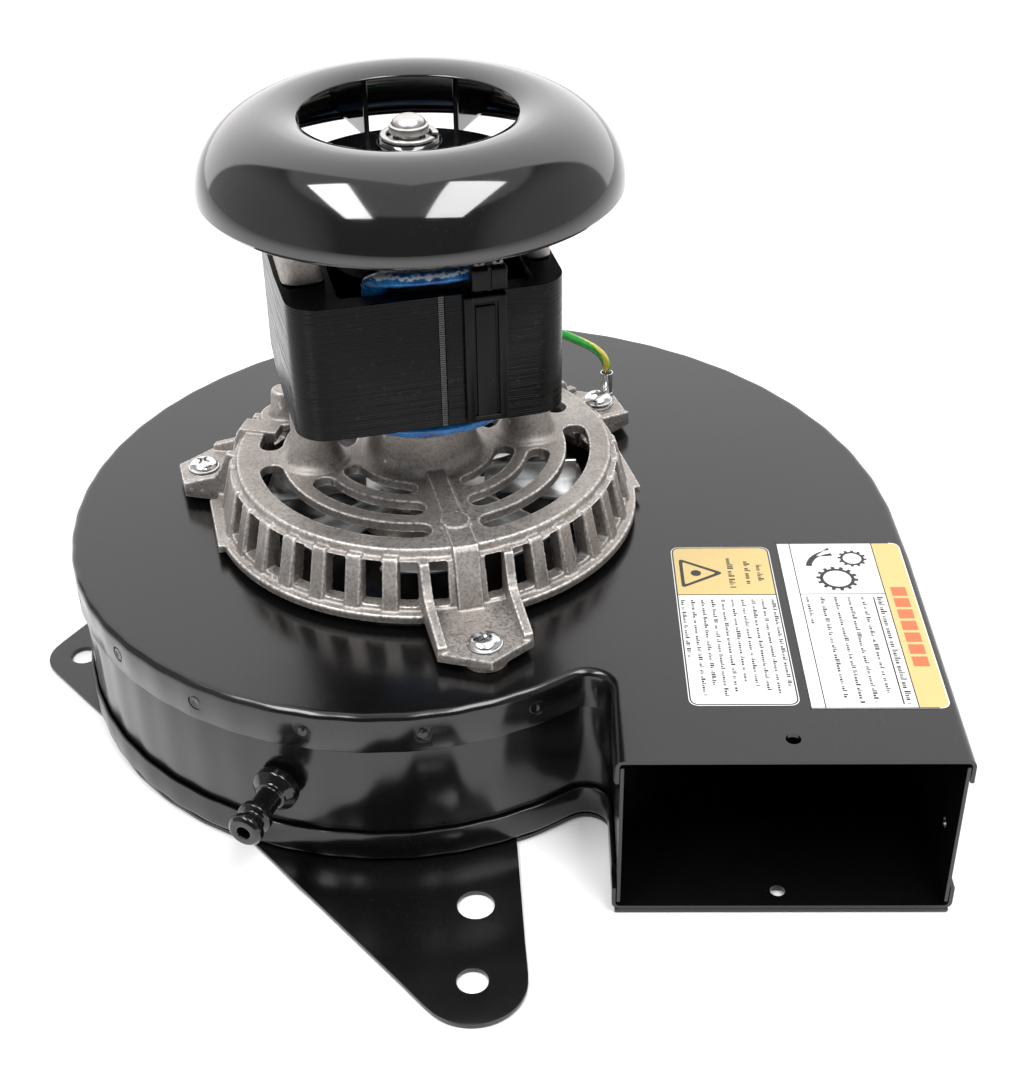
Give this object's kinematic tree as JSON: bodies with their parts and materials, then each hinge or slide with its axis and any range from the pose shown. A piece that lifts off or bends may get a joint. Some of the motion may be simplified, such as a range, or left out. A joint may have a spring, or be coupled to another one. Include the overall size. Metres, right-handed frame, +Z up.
{
  "type": "draft inducer fan",
  "caption": "Motor-driven centrifugal fan: black sheet-steel scroll housing, slotted cast motor bracket, shaded-pole motor with a top cooling fan, drum wheel inside.",
  "frame": {"origin": "the middle of the object's footprint, on the plane the mounting ears stand on", "axes": "+Z up along the shaft towards the top cooling fan; +X along the outlet's face towards the outlet's flat side; the outlet blows towards -Y; the shaft's axis stands at x -0.0100, y 0.01345"},
  "size_m": [0.2666, 0.2888, 0.1798],
  "materials": {
    "black_steel": "satin",
    "tap_metal": "satin",
    "inlet_metal": "satin",
    "zinc": "bright",
    "casting": "as cast",
    "fibre": "matte",
    "bronze": "satin",
    "lamination": "satin",
    "coil_tape": "gloss",
    "black_plastic": "gloss",
    "fan_plastic": "gloss",
    "wire_green": "satin",
    "label": "satin",
    "shaft_steel": "ground",
    "rotor_metal": "satin"
  },
  "bodies": {
    "housing": {"mount_plate": "black_steel", "base_pan": "black_steel", "wrap_strip": "black_steel", "top_pan": "black_steel", "pressure_tap": "tap_metal", "tap_nut": "zinc", "inlet_ring": "inlet_metal", "label_caution": "label", "label_notice": "label", "motor_bracket": "casting", "upper_bracket": "casting", "lug_screw_1": "zinc", "lug_screw_2": "zinc", "lug_screw_3": "zinc", "lug_spacer_1": "fibre", "lug_spacer_2": "fibre", "lug_spacer_3": "fibre", "heat_shield": "fibre", "lower_bearing": "bronze", "upper_bearing": "bronze", "lamination_stack": "lamination", "coil_front": "coil_tape", "coil_back": "coil_tape", "through_bolt_1": "zinc", "through_bolt_2": "zinc", "lead_clip": "black_plastic", "terminal_block": "black_plastic", "spade_tab_1": "zinc", "spade_tab_2": "zinc", "ground_wire": "wire_green", "ring_terminal": "zinc"},
    "rotor": {"shaft": "shaft_steel", "rotor_core": "rotor_metal", "cooling_fan": "fan_plastic", "fan_clamp": "zinc", "push_nut": "zinc", "heat_slinger": "rotor_metal", "wheel_hub": "zinc", "set_screw": "shaft_steel", "blower_wheel": "rotor_metal"}
  },
  "joints": [
    {"name": "shaft_spin", "type": "hinge", "parent": "housing", "child": "rotor", "pos_m": [-0.01, 0.01345, 0.09], "axis": [0, 0, 1], "continuous": true}
  ]
}
